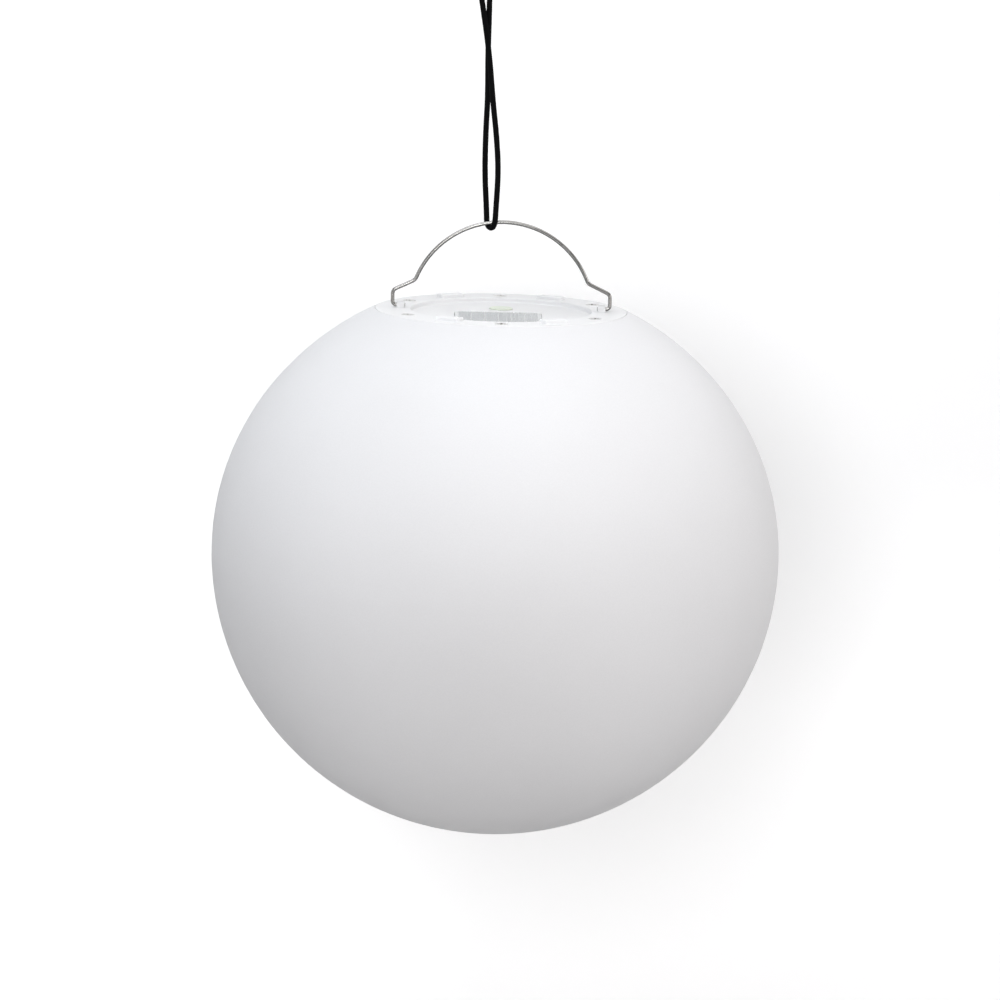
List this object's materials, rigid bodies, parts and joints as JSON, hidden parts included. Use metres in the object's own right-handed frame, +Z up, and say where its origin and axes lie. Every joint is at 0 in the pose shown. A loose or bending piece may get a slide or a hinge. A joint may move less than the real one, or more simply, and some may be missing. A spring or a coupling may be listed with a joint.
{
  "type": "garden globe light",
  "caption": "White hanging globe light: a hinged wire bail on a round cap with solar panel and push button, lamp and battery inside, hung from a loop of black cord.",
  "frame": {"origin": "underside of the bail's wire at its crown, on the globe's axis", "axes": "+Z up along the globe's axis, X along the bail's hinge, the solar panel on the -Y side"},
  "size_m": [0.2999, 0.3, 0.485],
  "materials": {
    "shell_white": "fine-grained matt translucent white",
    "cap_white": "satin moulded white",
    "button_green": "pale green translucent, satin",
    "stainless": "drawn stainless wire, brushed",
    "screw_steel": "bright pan heads",
    "brass": "turned brass",
    "clear_resin": "clear cast resin, glossy",
    "cell_grey": "mottled grey-teal cells under resin",
    "tinned": "tinned ribbon and contacts",
    "board_green": "solder-masked board",
    "board_white": "white solder-masked board",
    "chip_black": "moulded components",
    "seal_rubber": "light silicone",
    "housing_white": "moulded housing",
    "tray_black": "black battery tray",
    "cell_wrap": "shrink-wrapped cells",
    "led_phosphor": "phosphor over white bodies",
    "opal": "opal diffuser",
    "wire_red": "thin insulated leads",
    "cord_black": "round black cord, matt",
    "sleeve_black": "black crimp sleeve"
  },
  "bodies": {
    "hanger": {"bail_handle": "stainless", "hanging_cord": "cord_black", "cord_sleeve": "sleeve_black", "hang_ring": "stainless"},
    "globe": {"globe_shell": "shell_white", "neck_gasket": "seal_rubber", "cap": "cap_white", "cap_screws": "screw_steel", "screw_inserts": "brass", "solar_board": "board_white", "solar_cells": "cell_grey", "cell_ribbons": "tinned", "panel_resin": "clear_resin", "solar_leads": "wire_red", "button_seal": "seal_rubber", "switch_body": "chip_black", "control_board": "board_green", "board_chips": "chip_black", "wire_headers": "housing_white", "board_screws": "screw_steel", "lamp_housing": "housing_white", "housing_screws": "screw_steel", "battery_tray": "tray_black", "tray_screws": "screw_steel", "battery_cells": "cell_wrap", "cell_contacts": "tinned", "battery_leads": "wire_red", "led_board": "board_white", "leds": "led_phosphor", "led_board_screws": "screw_steel", "led_leads": "wire_red", "lens_cover": "opal"},
    "button": {"button_cap": "button_green", "switch_plunger": "chip_black"}
  },
  "joints": [
    {"name": "bail_hinge", "type": "hinge", "parent": "hanger", "child": "globe", "pos_m": [0, 0, -0.0436], "axis": [1, 0, 0], "range_deg": [-85, 85]},
    {"name": "button_press", "type": "slide", "parent": "globe", "child": "button", "axis": [0, 0, -1], "range_m": [0, 0.0009], "stiffness_N_per_m": 800}
  ]
}
